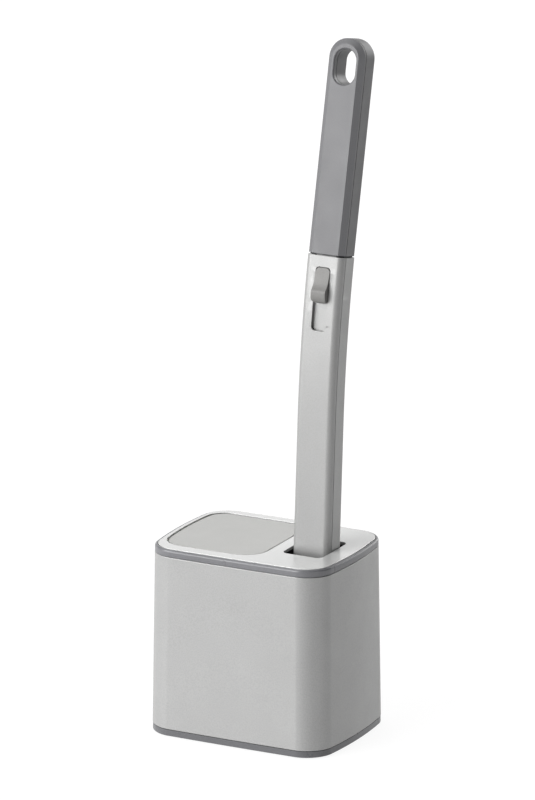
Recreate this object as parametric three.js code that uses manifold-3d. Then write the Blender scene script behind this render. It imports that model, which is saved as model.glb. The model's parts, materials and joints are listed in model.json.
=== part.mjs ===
// A toilet brush holder: a caddy with a lidded bin for spare heads and a well that holds the wand.
// Millimetres, +Z up, the front faces -Y, and the feet stand on z = 0.
import * as THREE from "three";
import { mergeVertices } from "three/addons/utils/BufferGeometryUtils.js";
import Module from "manifold-3d";

const wasm = await Module();
wasm.setup();

// The caddy's outline: a rounded rectangle whose sides bow outwards, wider at the foot.
const CADDY_HEIGHT = 120;
const TOP_WIDTH = 115.4;
const TOP_DEPTH = 91.8;
const BASE_WIDTH = 118.2;
const BASE_DEPTH = 95.8;
const CORNER_RADIUS = 15;
const SIDE_BOW = 4.2;
const FRONT_BOW = 0.7;
const CADDY_WALL = 2.2;
const GAP = 0.3; // between pieces that touch
const CADDY_SHIFT = -4.33; // the wand leans back, so the caddy stands in front of the box's centre

// Trim and deck.
const BAND_HEIGHT = 4.7;
const BAND_EDGE = 1.7; // how much of the band shows around the deck
const DECK_THICKNESS = 2;
const BASE_BAND_TOP = 4.9;
const FLOOR_CLEARANCE = 0.8; // the base pan stands this far off the floor on its feet

// The lid, its gap in the deck and the bin under it.
const LID = { left: -53, right: 10.2, front: -35, rear: 37.2, bow: 3.2, corners: [12, 15, 9, 9] };
const LID_TOP = 119.75;
const LID_THICKNESS = 1.8;
const LID_GAP = 1.2;
const LID_PIVOT = { y: LID.rear - 12.2, z: 114.5 };
const LID_PIN_RADIUS = 0.9;
const BIN_WALL = 1.6;
const BIN_LEDGE = 2.6; // how far the lid overlaps the bin's rim
const BIN_FLOOR = 21.2;

// The well for the wand.
const SLOT = { left: 20, right: 47, front: -19.5, rear: 17, radius: 4 };
const WELL_WALL = 1.6;
const WELL_FLOOR = 8;

// The wand: a flat hollow bar that leans back, bends further back and ends in a grip.
const WAND_X = 34;
const WAND_WIDTH = 25;
const WAND_DEPTH = 19;
const WAND_RADIUS = 4;
const WAND_WALL = 1.6;
const WAND_LEAN = THREE.MathUtils.degToRad(3.4);
const WAND_FOOT = { y: -5.74, z: 15 }; // the jaw tips, where the wand's own axis starts
const BEND_START = 181.3;
const BEND_RADIUS = 690;
const BEND_ANGLE = THREE.MathUtils.degToRad(9.5);
const BEND_END = BEND_START + BEND_RADIUS * BEND_ANGLE;
const SEAM_Y = -4.8; // the front shell is a shallow cap, the rear shell a deep trough
const SHAFT_BOTTOM = 32;
const SHAFT_TOP = 285.9;
const GRIP_WIDTH = 24.3;
const GRIP_DEPTH = 17.8;
const GRIP_BOTTOM = -8.8; // measured from the end of the bend
const GRIP_TOP = 122.3;
const HANG_HOLE = { width: 14.3, height: 22, below: 6.4 };

// The thumb slider and what it drives.
const SLIDE_TRAVEL = 14;
const THUMB_SLOT = { width: 10.1, length: 38.7, radius: 2.5, middle: 260 };
const BUTTON = { width: 9.5, length: 21.6, crest: 4.5 };
const STRIP_FACE = -7.1;
const STRIP_THICKNESS = 1;
const ROD_Y = 3;
const ROD_RADIUS = 2;
const SPRING = { bottom: 130, top: 168, coil: 3.4, wire: 0.45, turns: 9 };
const JAW_PIVOT = { x: 7.2, z: 42 };
const JAW_PIN_RADIUS = 1.1;
const JAW_HALF_WIDTH = 5;
const WEDGE = { bottom: 28, top: 42, tip: 1.5, slope: 0.1227 };

const HEAD_PITCH = 28.4;
const HEAD_COUNT = 3;

const palette = {
  shell: [0xc6c7c7, 0.45],
  deck: [0xdedfdf, 0.25],
  lid: [0xc7c7c2, 0.7],
  trim: [0x77787c, 0.4],
  cup: [0x2c2d2f, 0.6],
  foot: [0x3a3a3c, 0.9],
  grip_face: [0x949496, 0.5],
  grip_back: [0x6b6b6e, 0.5],
  shaft: [0xbebebe, 0.4],
  button: [0xaaa9a6, 0.5],
  inner: [0xe4e4e0, 0.5],
  steel: [0xb4b6b8, 0.25],
  pad: [0x8fb4d8, 0.95],
};

const root = new THREE.Group();
const caddy = new THREE.Group();
caddy.position.y = CADDY_SHIFT;
root.add(caddy);
const wand = new THREE.Group();
wand.position.set(WAND_X, WAND_FOOT.y, WAND_FOOT.z);
wand.rotation.x = -WAND_LEAN;
caddy.add(wand);

// --- solids -------------------------------------------------------------------------------

function solid(geometry) {
  const bare = geometry.clone();
  bare.deleteAttribute("normal");
  bare.deleteAttribute("uv");
  const merged = mergeVertices(bare, 1e-4);
  const mesh = new wasm.Mesh({
    numProp: 3,
    vertProperties: new Float32Array(merged.attributes.position.array),
    triVerts: new Uint32Array(merged.index.array),
  });
  return new wasm.Manifold(mesh);
}

function geometryOf(body) {
  const mesh = body.getMesh();
  const geometry = new THREE.BufferGeometry();
  geometry.setAttribute("position", new THREE.BufferAttribute(new Float32Array(mesh.vertProperties), 3));
  geometry.setIndex(new THREE.BufferAttribute(new Uint32Array(mesh.triVerts), 1));
  geometry.computeVertexNormals();
  return geometry;
}

const join = (first, ...others) => others.reduce((sum, other) => sum.add(other), first);
const cut = (first, ...tools) => tools.reduce((rest, tool) => rest.subtract(tool), first);

function add(parent, name, shape, look) {
  const geometry = shape.isBufferGeometry ? shape : geometryOf(shape);
  const [color, roughness] = palette[look];
  const metalness = look === "steel" ? 1 : 0;
  const mesh = new THREE.Mesh(geometry, new THREE.MeshStandardMaterial({ color, roughness, metalness }));
  mesh.name = name;
  parent.add(mesh);
  return mesh;
}

// A box between two corners.
function block(x0, x1, y0, y1, z0, z1) {
  const geometry = new THREE.BoxGeometry(x1 - x0, y1 - y0, z1 - z0);
  return solid(geometry.translate((x0 + x1) / 2, (y0 + y1) / 2, (z0 + z1) / 2));
}

// A round bar along an axis, from one end to the other, centred on the two other coordinates.
function bar(axis, radius, from, to, a, b, sides = 16) {
  const geometry = new THREE.CylinderGeometry(radius, radius, to - from, sides);
  geometry.translate(0, (from + to) / 2, 0);
  if (axis === "z") geometry.rotateX(Math.PI / 2).translate(a, b, 0);
  if (axis === "y") geometry.translate(a, 0, b);
  if (axis === "x") geometry.rotateZ(-Math.PI / 2).translate(0, a, b);
  return solid(geometry);
}

// An upright extrusion of an outline between two heights.
function prism(points, z0, z1) {
  const shape = new THREE.Shape(points);
  const geometry = new THREE.ExtrudeGeometry(shape, { depth: z1 - z0, bevelEnabled: false });
  return geometry.translate(0, 0, z0);
}

// An extrusion whose top and bottom edges are rounded off.
function roundedPrism(points, z0, z1, radius, segments = 3) {
  const geometry = new THREE.ExtrudeGeometry(new THREE.Shape(points), {
    depth: z1 - z0 - 2 * radius,
    bevelSize: radius,
    bevelOffset: -radius,
    bevelThickness: radius,
    bevelSegments: segments,
  });
  return geometry.translate(0, 0, z0 + radius);
}

// --- outlines -----------------------------------------------------------------------------

// A rectangle with its own radius at each corner: front left, front right, rear right, rear left.
function roundedRectangle(x0, x1, y0, y1, corners, steps = 5) {
  const [frontLeft, frontRight, rearRight, rearLeft] = corners;
  const centres = [
    [x1 - rearRight, y1 - rearRight, rearRight],
    [x0 + rearLeft, y1 - rearLeft, rearLeft],
    [x0 + frontLeft, y0 + frontLeft, frontLeft],
    [x1 - frontRight, y0 + frontRight, frontRight],
  ];
  const points = [];
  centres.forEach(([cx, cy, radius], quarter) => {
    for (let k = 0; k <= steps; k++) {
      const angle = ((quarter + k / steps) * Math.PI) / 2;
      points.push(new THREE.Vector2(cx + radius * Math.cos(angle), cy + radius * Math.sin(angle)));
    }
  });
  return points;
}

// Long straight sides are divided, so that they can follow a curve.
function divide(points, longest) {
  return points.flatMap((point, i) => {
    const next = points[(i + 1) % points.length];
    const parts = Math.max(1, Math.round(point.distanceTo(next) / longest));
    return Array.from({ length: parts }, (_, k) => point.clone().lerp(next, k / parts));
  });
}

function caddyOutline(inset) {
  const halfWidth = TOP_WIDTH / 2;
  const halfDepth = TOP_DEPTH / 2;
  const radius = CORNER_RADIUS - inset;
  const plain = roundedRectangle(
    inset - halfWidth, halfWidth - inset, inset - halfDepth, halfDepth - inset, Array(4).fill(radius),
  );
  return divide(plain, 12).map(({ x, y }) => {
    const across = x / halfWidth;
    const along = y / halfDepth;
    return new THREE.Vector2(
      x + SIDE_BOW * across * (1 - along * along),
      y + FRONT_BOW * along * (1 - across * across),
    );
  });
}

// Widens an upright shape towards the foot.
function draft(geometry) {
  const position = geometry.attributes.position;
  for (let i = 0; i < position.count; i++) {
    const down = 1 - position.getZ(i) / CADDY_HEIGHT;
    position.setX(i, position.getX(i) * (1 + (BASE_WIDTH / TOP_WIDTH - 1) * down));
    position.setY(i, position.getY(i) * (1 + (BASE_DEPTH / TOP_DEPTH - 1) * down));
  }
  return solid(geometry);
}

const caddyPrism = (inset, z0, z1) => draft(prism(caddyOutline(inset), z0, z1));

// The lid's outline grown by a margin; its left side follows the caddy's bowed side.
function lidOutline(margin) {
  const { left, right, front, rear, bow } = LID;
  const corners = LID.corners.map((radius) => radius + margin);
  const plain = roundedRectangle(left - margin, right + margin, front - margin, rear + margin, corners);
  const middle = (front + rear) / 2;
  const reach = (rear - front) / 2 + margin;
  return divide(plain, 12).map(({ x, y }) => {
    const along = (y - middle) / reach;
    const nearLeft = THREE.MathUtils.clamp(1 - (x - left + margin) / 14, 0, 1);
    return new THREE.Vector2(x - bow * nearLeft * (1 - along * along), y);
  });
}

const lidPrism = (margin, z0, z1) => solid(prism(lidOutline(margin), z0, z1));

function slotPrism(margin, z0, z1) {
  const { left, right, front, rear, radius } = SLOT;
  const corners = Array(4).fill(radius + margin);
  const outline = roundedRectangle(left - margin, right + margin, front - margin, rear + margin, corners, 4);
  return solid(prism(outline, z0, z1));
}

// --- caddy --------------------------------------------------------------------------------

const FOOT = { x: 44, y: 33, radius: 6, height: 2.6 };
const BOSS_TOP = 20;
const BOSS_RADIUS = 4.2;
const SCREW_RADIUS = 1.5;
const cornersOf = ({ x, y }) => [
  ["front_left", -x, -y],
  ["front_right", x, -y],
  ["rear_right", x, y],
  ["rear_left", -x, y],
];

function makeBodySleeve() {
  const bottom = BASE_BAND_TOP + GAP;
  const top = CADDY_HEIGHT - BAND_HEIGHT - GAP;
  let body = cut(caddyPrism(0, bottom, top), caddyPrism(CADDY_WALL, 0, CADDY_HEIGHT));
  for (const [, x, y] of cornersOf(FOOT)) {
    const web = block(Math.min(x, x * 1.4), Math.max(x, x * 1.4), y - 1, y + 1, 10, BOSS_TOP);
    const boss = join(bar("z", BOSS_RADIUS, 10, BOSS_TOP, x, y), web.intersect(caddyPrism(1, 0, 60)));
    body = join(body, cut(boss, bar("z", SCREW_RADIUS + GAP, 0, BOSS_TOP - 1, x, y, 12)));
  }
  add(caddy, "body_sleeve", body, "shell");
}

function makeTopBand() {
  const bottom = CADDY_HEIGHT - BAND_HEIGHT;
  const rim = draft(roundedPrism(caddyOutline(0), bottom - 3, CADDY_HEIGHT - 0.3, 1.5, 2));
  const visible = rim.intersect(caddyPrism(-1, bottom, CADDY_HEIGHT + 1));
  const skirt = caddyPrism(CADDY_WALL + GAP, bottom - 7, bottom + 0.1);
  const body = cut(
    join(visible, skirt),
    caddyPrism(3.6, 0, CADDY_HEIGHT + 1),
    caddyPrism(BAND_EDGE, CADDY_HEIGHT - DECK_THICKNESS - GAP, CADDY_HEIGHT + 1),
  );
  add(caddy, "top_band", body, "trim");
}

function makeDeckPlate() {
  const under = CADDY_HEIGHT - DECK_THICKNESS;
  const outline = caddyOutline(BAND_EDGE + GAP);
  const plate = draft(roundedPrism(outline, under, CADDY_HEIGHT, 0.5, 2));
  const body = cut(plate, lidPrism(LID_GAP, 100, 130), slotPrism(0, 100, 130));
  add(caddy, "deck_plate", body, "deck");
}

function makeBasePan() {
  const floorTop = 2.8;
  const under = draft(roundedPrism(caddyOutline(0.2), FLOOR_CLEARANCE, 20, 0.6, 2));
  const shell = under.intersect(caddyPrism(-1, 0, BASE_BAND_TOP));
  const lip = caddyPrism(CADDY_WALL + GAP, 3, 9);
  let body = cut(join(shell, lip), caddyPrism(CADDY_WALL + GAP + 1.6, floorTop, 20));
  for (const [, x, y] of cornersOf(FOOT)) {
    body = join(body, bar("z", FOOT.radius + 2, FLOOR_CLEARANCE + 0.5, 10 - GAP, x, y, 18));
    body = cut(
      body,
      bar("z", FOOT.radius + GAP, 0, FOOT.height + GAP, x, y, 18),
      bar("z", 3.4, 0, 6, x, y, 12),
      bar("z", SCREW_RADIUS + GAP, 0, 20, x, y, 12),
    );
  }
  add(caddy, "base_pan", body, "trim");
}

function makeFeetAndScrews() {
  const screw = [[0, 3.2], [2.9, 3.2], [2.9, 5.4], [SCREW_RADIUS, 5.6], [SCREW_RADIUS, 17], [0, 18.5]];
  for (const [corner, x, y] of cornersOf(FOOT)) {
    const { radius, height } = FOOT;
    const foot = [[0, 0], [radius - 0.6, 0], [radius, 0.6], [radius, height], [0, height]];
    add(caddy, "foot_" + corner, turned(foot, 16).translate(x, y, 0), "foot");
    add(caddy, "base_screw_" + corner, turned(screw, 12).translate(x, y, 0), "steel");
  }
}

// A turned piece about the z axis; its profile runs upwards, so the faces point outwards.
function turned(profile, sides) {
  const points = profile.map(([radius, height]) => new THREE.Vector2(radius, height));
  return new THREE.LatheGeometry(points, sides).rotateX(Math.PI / 2);
}

// The lid's pins turn in a boss on each side wall of the bin.
const PIN_BOSSES = [[-53, -50], [6.4, 9.1]];

// The rear of the bin is cut down, so that the lid's rear edge can swing into it.
function makeRefillBin() {
  const top = LID_TOP - LID_THICKNESS - GAP;
  const behindPivot = block(-80, 80, LID_PIVOT.y + 1, 60, LID_PIVOT.z - 11.5, 125);
  const flange = cut(lidPrism(3.5, top - 1.4, top).intersect(caddyPrism(4.1, 0, CADDY_HEIGHT)), behindPivot);
  const tub = lidPrism(BIN_WALL - BIN_LEDGE, BIN_FLOOR, top);
  const open = cut(join(tub, flange), lidPrism(-BIN_LEDGE, BIN_FLOOR + BIN_WALL, CADDY_HEIGHT), behindPivot);
  const bosses = PIN_BOSSES.map(([from, to]) => bar("x", 2.4, from, to, LID_PIVOT.y, LID_PIVOT.z));
  const body = cut(
    join(open, ...bosses),
    bar("x", LID_PIN_RADIUS + GAP, -70, 30, LID_PIVOT.y, LID_PIVOT.z, 12),
  );
  add(caddy, "refill_bin", body, "inner");
}

// Hinge lugs hang under the lid beside the bin's two side walls.
const LUGS = [
  { side: "left", from: -47.2, to: -44.2, wall: -1 },
  { side: "right", from: 1.2, to: 4.2, wall: 1 },
];

function makeLid() {
  const under = LID_TOP - LID_THICKNESS;
  let body = solid(roundedPrism(lidOutline(0), under, LID_TOP, 0.5, 2));
  for (const { from, to } of LUGS) {
    const { y, z } = LID_PIVOT;
    const lug = join(bar("x", 2.3, from, to, y, z), block(from, to, y - 2.3, y + 2.3, z, under + 0.5));
    body = cut(join(body, lug), bar("x", LID_PIN_RADIUS + GAP, from - 1, to + 1, y, z, 12));
  }
  add(caddy, "refill_lid", body, "lid");
  for (const { side, from, to, wall } of LUGS) {
    const ends = wall < 0 ? [from - 5.6, to + 0.5] : [from - 0.5, to + 4.7];
    add(caddy, "lid_pin_" + side, bar("x", LID_PIN_RADIUS, ...ends, LID_PIVOT.y, LID_PIVOT.z, 12), "steel");
  }
}

// A spare head is a soft pad with a plastic plug on top, for the wand's jaws to grip.
function makeSpareHeads() {
  const names = ["lower", "middle", "upper"];
  for (let k = 0; k < HEAD_COUNT; k++) {
    const z = BIN_FLOOR + BIN_WALL + GAP + k * HEAD_PITCH;
    const outline = roundedRectangle(-46.5, 1.5, -26, 28, Array(4).fill(22), 5);
    add(caddy, "spare_pad_" + names[k], solid(roundedPrism(outline, z, z + 19, 6, 3)), "pad");
    const profile = [[0, 19.3], [12, 19.3], [12, 21.3], [3.5, 21.3], [3.5, 24], [5, 25], [5, 26.6], [4, 27.8], [0, 27.8]];
    add(caddy, "spare_plug_" + names[k], turned(profile, 16).translate(-22.5, 1, z), "inner");
  }
}

// The well is dark and deep. Blocks at its foot carry the shaft's rim, and ribs steady the shaft.
function makeWandWell() {
  const top = CADDY_HEIGHT - DECK_THICKNESS - GAP;
  const outer = slotPrism(0.4 + WELL_WALL, WELL_FLOOR, top);
  const hollow = slotPrism(0.4, WELL_FLOOR + WELL_WALL, CADDY_HEIGHT);
  const tilted = (body) => body.transform(wand.matrix.elements);
  const clear = WAND_DEPTH / 2 + 0.6;
  const supports = [
    block(-20, 20, -25, -JAW_HALF_WIDTH - 1.1, -10, SHAFT_BOTTOM - GAP),
    block(-20, 20, JAW_HALF_WIDTH + 1.1, 25, -10, SHAFT_BOTTOM - GAP),
    block(-5, 5, -25, -clear, 60, 88),
    block(-5, 5, clear, 25, 60, 88),
  ];
  wand.updateMatrix();
  const fitted = supports.map((support) => tilted(support).intersect(slotPrism(1, WELL_FLOOR + 0.5, top - 2)));
  const lip = slotPrism(0.4 + WELL_WALL + 1.6, top - 1.2, top);
  add(caddy, "wand_well", join(cut(join(outer, lip), hollow), ...fitted), "cup");
}

// --- wand ---------------------------------------------------------------------------------

// The wand's centre line in its own frame: straight, then an arc, then straight again.
function spinePoint(s) {
  const angle = THREE.MathUtils.clamp((s - BEND_START) / BEND_RADIUS, 0, BEND_ANGLE);
  const before = Math.min(s, BEND_START);
  const after = Math.max(0, s - BEND_END);
  const y = BEND_RADIUS * (1 - Math.cos(angle)) + after * Math.sin(angle);
  const z = before + BEND_RADIUS * Math.sin(angle) + after * Math.cos(angle);
  return { y, z, angle };
}

// A group whose own z axis lies along the centre line at distance s.
function frameAt(s, parent) {
  const { y, z, angle } = spinePoint(s);
  const group = new THREE.Group();
  group.position.set(0, y, z);
  group.rotation.x = -angle;
  group.updateMatrix();
  parent.add(group);
  return group;
}

const place = (body, frame) => body.transform(frame.matrix.elements);

// Extrudes a section along the centre line, with a ring at each of the given distances.
function alongSpine(points, stations) {
  const depth = stations.length - 1;
  const options = { depth, steps: depth, bevelEnabled: false };
  const geometry = new THREE.ExtrudeGeometry(new THREE.Shape(points), options);
  const position = geometry.attributes.position;
  for (let i = 0; i < position.count; i++) {
    const { y, z, angle } = spinePoint(stations[Math.round(position.getZ(i))]);
    const across = position.getY(i);
    position.setY(i, y + across * Math.cos(angle));
    position.setZ(i, z - across * Math.sin(angle));
  }
  return solid(geometry);
}

// Distances from one end to the other, dense enough to follow the bend.
function stations(from, to) {
  const bendSteps = Array.from({ length: 9 }, (_, k) => BEND_START + ((BEND_END - BEND_START) * k) / 8);
  return [from, ...bendSteps.filter((s) => s > from + 2 && s < to - 2), to];
}

// Half of a hollow rounded section: side is -1 for the front cap and 1 for the rear trough.
function halfSection(side, seam) {
  const arch = (inset) => {
    const halfWidth = WAND_WIDTH / 2 - inset;
    const halfDepth = WAND_DEPTH / 2 - inset;
    const radius = WAND_RADIUS - inset;
    const points = [new THREE.Vector2(halfWidth, seam)];
    for (const [sign, start] of [[1, 0], [-1, 1]]) {
      for (let k = 0; k <= 4; k++) {
        const angle = ((start + k / 4) * Math.PI) / 2;
        const x = sign * (halfWidth - radius) + radius * Math.cos(angle);
        points.push(new THREE.Vector2(x, side * (halfDepth - radius + radius * Math.sin(angle))));
      }
    }
    points.push(new THREE.Vector2(-halfWidth, seam));
    return points;
  };
  return [...arch(0), ...arch(WAND_WALL).reverse()];
}

const slider = frameAt(THUMB_SLOT.middle, wand);
const grip = frameAt(BEND_END, wand);

// Screws that close the wand go in from the rear, each into a boss on the opposite shell.
const SHAFT_SCREWS = [
  { name: "shaft_screw_lower", x: -7.2, frame: frameAt(100, wand) },
  { name: "shaft_screw_upper", x: 7.2, frame: frameAt(205, wand) },
];
const TENON_SCREW_LOWER = frameAt(280.5, wand);
const HEAD_RADIUS = 2.3;

function wandScrew(parent, name, x, z, rear, length) {
  const profile = [[0, 0], [HEAD_RADIUS, 0], [HEAD_RADIUS, 1.2], [1.2, 1.4], [1.2, length - 1], [0, length]];
  const geometry = turned(profile, 12).rotateX(Math.PI / 2).translate(x, rear - 0.4, z);
  add(parent, name, geometry, "steel");
}

// The seat of a screw in a rear shell: a pad inside, a counterbore outside and a clear hole.
function screwSeat(shell, x, z, rear, depth, frame) {
  const fit = (body) => (frame ? place(body, frame) : body);
  return cut(
    join(shell, fit(bar("y", 3.4, rear - depth, rear - 0.8, x, z))),
    fit(bar("y", HEAD_RADIUS + GAP, rear - 1.9, rear + 2, x, z)),
    fit(bar("y", 1.5, rear - depth - 1, rear + 2, x, z, 12)),
  );
}

function makeShaftFront() {
  const { width, length, radius } = THUMB_SLOT;
  const outline = roundedRectangle(-width / 2, width / 2, -length / 2, length / 2, Array(4).fill(radius), 4);
  const opening = solid(prism(outline, 5, 14).rotateX(Math.PI / 2));
  let body = alongSpine(halfSection(-1, SEAM_Y - GAP / 2), stations(SHAFT_BOTTOM, SHAFT_TOP));
  body = cut(body, place(opening, slider));
  const front = 1 - WAND_DEPTH / 2;
  for (const { x, frame } of SHAFT_SCREWS) {
    const boss = cut(bar("y", 2.7, front, 2.6, x, 0), bar("y", 1.5, -6, 3, x, 0, 12));
    body = join(body, place(boss, frame));
  }
  add(wand, "shaft_front", body, "shaft");
}

function makeShaftRear() {
  let body = alongSpine(halfSection(1, SEAM_Y + GAP / 2), stations(SHAFT_BOTTOM, SHAFT_TOP));
  const rear = WAND_DEPTH / 2;
  for (const { x, frame } of SHAFT_SCREWS) body = screwSeat(body, x, 0, rear, 6.4, frame);
  body = screwSeat(body, 0, 0, rear, 3.2, TENON_SCREW_LOWER);
  for (const [s, thickness] of [[72, 2], [SPRING.bottom - 2.6, 2.3], [228, 2]]) {
    const { y } = spinePoint(s);
    const rib = block(-11.2, 11.2, y - 3.2, y + rear - 1, s, s + thickness);
    const channel = block(-2.4, 2.4, -20, ROD_Y, s - 1, s + 4);
    body = join(body, cut(rib, channel, bar("z", 2.4, s - 1, s + 4, 0, ROD_Y)));
  }
  add(wand, "shaft_rear", body, "shaft");
}

// The grip seen from the front: straight sides under a round arch.
function gripOutline(inset) {
  const radius = GRIP_WIDTH / 2 - inset;
  const shoulder = GRIP_TOP - GRIP_WIDTH / 2;
  const points = [new THREE.Vector2(-radius, GRIP_BOTTOM + inset), new THREE.Vector2(radius, GRIP_BOTTOM + inset)];
  for (let k = 0; k <= 14; k++) {
    const angle = (k / 14) * Math.PI;
    points.push(new THREE.Vector2(radius * Math.cos(angle), shoulder + radius * Math.sin(angle)));
  }
  return points;
}

function hangHole(margin) {
  const radius = HANG_HOLE.width / 2 + margin;
  const top = GRIP_TOP - HANG_HOLE.below + margin;
  const bottom = GRIP_TOP - HANG_HOLE.below - HANG_HOLE.height - margin;
  return roundedRectangle(-radius, radius, bottom, top, Array(4).fill(radius - 0.01), 5);
}

// An outline drawn in the grip's face, made solid between two depths.
const gripPrism = (points, y0, y1) => solid(prism(points, -y1, -y0).rotateX(Math.PI / 2));

const GRIP_WALL = 1.4;
const OPEN_END = 6; // the grip's hollow runs out through its lower end

function hollowGrip(inset, y0, y1) {
  const room = gripPrism(gripOutline(inset), y0, y1);
  const mouth = block(-GRIP_WIDTH / 2 + inset, GRIP_WIDTH / 2 - inset, y0, y1, GRIP_BOTTOM - OPEN_END, 0);
  return join(room, mouth);
}

function makeGripFront() {
  const front = -GRIP_DEPTH / 2;
  const seam = SEAM_Y - GAP / 2;
  const block3 = solid(roundedPrism(gripOutline(0), -20, -front, 2.4, 2).rotateX(Math.PI / 2));
  const end = block(-20, 20, -20, seam, GRIP_BOTTOM, 200);
  const collar = cut(gripPrism(hangHole(2.6), front + 1, seam), gripPrism(hangHole(0), -20, 20));
  const boss = cut(bar("y", 2.7, front + 1, 2, 0, 62), bar("y", 1.5, front + 3, 5, 0, 62, 12));
  const cap = cut(block3.intersect(end), hollowGrip(GRIP_WALL + 0.9, front + GRIP_WALL, seam + 1));
  const body = cut(join(cap, collar, boss), gripPrism(hangHole(0), -20, 20));
  add(grip, "grip_front", body, "grip_face");
}

function makeGripRear() {
  const rear = GRIP_DEPTH / 2;
  const seam = SEAM_Y + GAP / 2;
  const whole = solid(roundedPrism(gripOutline(0), -rear, 20, 2.8, 3).rotateX(Math.PI / 2));
  const end = block(-20, 20, seam, 20, GRIP_BOTTOM, 200);
  const collar = gripPrism(hangHole(1.8), seam, rear - 1);
  let body = cut(whole.intersect(end), hollowGrip(GRIP_WALL, seam - 1, rear - GRIP_WALL));
  body = cut(join(body, collar), gripPrism(hangHole(0), -20, 20));
  body = screwSeat(body, 0, 62, rear, 6.4, null);
  body = screwSeat(body, 0, 14, rear, 3.2, null);
  add(grip, "grip_rear", body, "grip_back");
}

// The tenon joins shaft and grip. It stays behind the slider's strip. Its collar closes the joint between them.
function makeTenon() {
  const section = [[-10, -3.4], [10, -3.4], [10, 5.2], [-10, 5.2]].map(([x, y]) => new THREE.Vector2(x, y));
  const ring = solid(prism(roundedRectangle(-11.7, 11.7, -8.5, 8.4, [4, 4, 4, 4]), -9.5, -9.05));
  const stripRoom = block(-7.4, 7.4, -7.95, -5, -20, 0);
  let body = join(alongSpine(section, [277, 286, BEND_END, 322]), place(cut(ring, stripRoom), grip));
  body = cut(body, place(bar("y", 1.5, -5, 8, 0, 0, 12), TENON_SCREW_LOWER));
  body = cut(body, place(bar("y", 1.5, -5, 8, 0, 14, 12), grip));
  add(wand, "grip_tenon", body, "inner");
}

function makeWandScrews() {
  for (const { name, x, frame } of SHAFT_SCREWS) wandScrew(frame, name, x, 0, WAND_DEPTH / 2, 12.5);
  wandScrew(TENON_SCREW_LOWER, "tenon_screw_lower", 0, 0, WAND_DEPTH / 2, 10);
  wandScrew(grip, "tenon_screw_upper", 0, 14, GRIP_DEPTH / 2, 9.5);
  wandScrew(grip, "grip_screw", 0, 62, GRIP_DEPTH / 2, 11.5);
}

// --- thumb slider, rod and jaws -------------------------------------------------------------

const STEM = { halfWidth: 2.5, from: 4, to: 10, tip: 1 };

// The button rises from the slot's top end in a hollow ramp to a rounded crest.
function makeThumbButton() {
  const top = THUMB_SLOT.length / 2 - GAP;
  const bottom = top - BUTTON.length;
  const face = -WAND_DEPTH / 2;
  const crest = face - BUTTON.crest;
  const back = STRIP_FACE - GAP;
  const side = new THREE.Shape();
  side.moveTo(-back, bottom);
  side.lineTo(-back, top);
  side.lineTo(-face, top);
  side.quadraticCurveTo(-face + 0.4, bottom + 12.5, -crest - 0.7, bottom + 8.4);
  side.quadraticCurveTo(-crest, bottom + 7.6, -crest, bottom + 6.4);
  side.quadraticCurveTo(-crest - 0.2, bottom + 0.4, -face, bottom);
  const bevel = 0.6;
  const options = {
    depth: BUTTON.width - 2 * bevel,
    bevelSize: bevel,
    bevelOffset: -bevel,
    bevelThickness: bevel,
    bevelSegments: 2,
    curveSegments: 5,
  };
  const knob = new THREE.ExtrudeGeometry(side, options);
  knob.translate(0, 0, -options.depth / 2);
  // The profile's x becomes the way out of the wand (-Y) and its y becomes Z.
  knob.applyMatrix4(new THREE.Matrix4().makeBasis(
    new THREE.Vector3(0, -1, 0), new THREE.Vector3(0, 0, 1), new THREE.Vector3(-1, 0, 0),
  ));
  const half = BUTTON.width / 2;
  const front = roundedRectangle(-half, half, bottom, top, Array(4).fill(THUMB_SLOT.radius), 3);
  const rounded = solid(knob).intersect(solid(prism(front, 0, 20).rotateX(Math.PI / 2)));
  const { halfWidth, from, to, tip } = STEM;
  const stem = block(-halfWidth, halfWidth, back - 1, tip, from, to);
  add(slider, "thumb_button", join(rounded, stem), "button");
}

// A curved strip closes the slot behind the button at both ends of its travel.
function makeSliderStrip() {
  const back = STRIP_FACE + STRIP_THICKNESS;
  const corners = [[-6.5, STRIP_FACE], [6.5, STRIP_FACE], [6.5, back], [-6.5, back]];
  const section = corners.map(([x, y]) => new THREE.Vector2(x, y));
  const reach = THUMB_SLOT.length / 2 + 1.6;
  const ends = [THUMB_SLOT.middle - reach, THUMB_SLOT.middle + reach + SLIDE_TRAVEL];
  const steps = Array.from({ length: 6 }, (_, k) => ends[0] + ((ends[1] - ends[0]) * k) / 5);
  const { halfWidth, from, to } = STEM;
  const hole = block(-halfWidth - GAP, halfWidth + GAP, -12, 0, from - GAP, to + GAP);
  add(wand, "slider_strip", cut(alongSpine(section, steps), place(hole, slider)), "shaft");
}

function makePushRod() {
  const yoke = block(-4.8, 4.8, ROD_Y - 1.5, ROD_Y + 1.5, 259, 274.5);
  const window = block(-STEM.halfWidth - GAP, STEM.halfWidth + GAP, -5, 10, 263.4, 270.5);
  const rod = bar("z", ROD_RADIUS, 43, 260, 0, ROD_Y, 12);
  add(wand, "push_rod", cut(join(rod, yoke), window), "inner");
}

function makeEjector() {
  const { bottom, top, tip, slope } = WEDGE;
  const wide = tip + slope * (top - bottom);
  const outline = [[-tip, bottom], [tip, bottom], [wide, top], [wide, 50], [-wide, 50], [-wide, top]];
  const points = outline.map(([x, z]) => new THREE.Vector2(x, z));
  const body = solid(prism(points, -5, 4.5).rotateX(Math.PI / 2));
  add(wand, "ejector", cut(body, bar("z", ROD_RADIUS + GAP, 42.7, 60, 0, ROD_Y, 12)), "inner");
}

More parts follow.
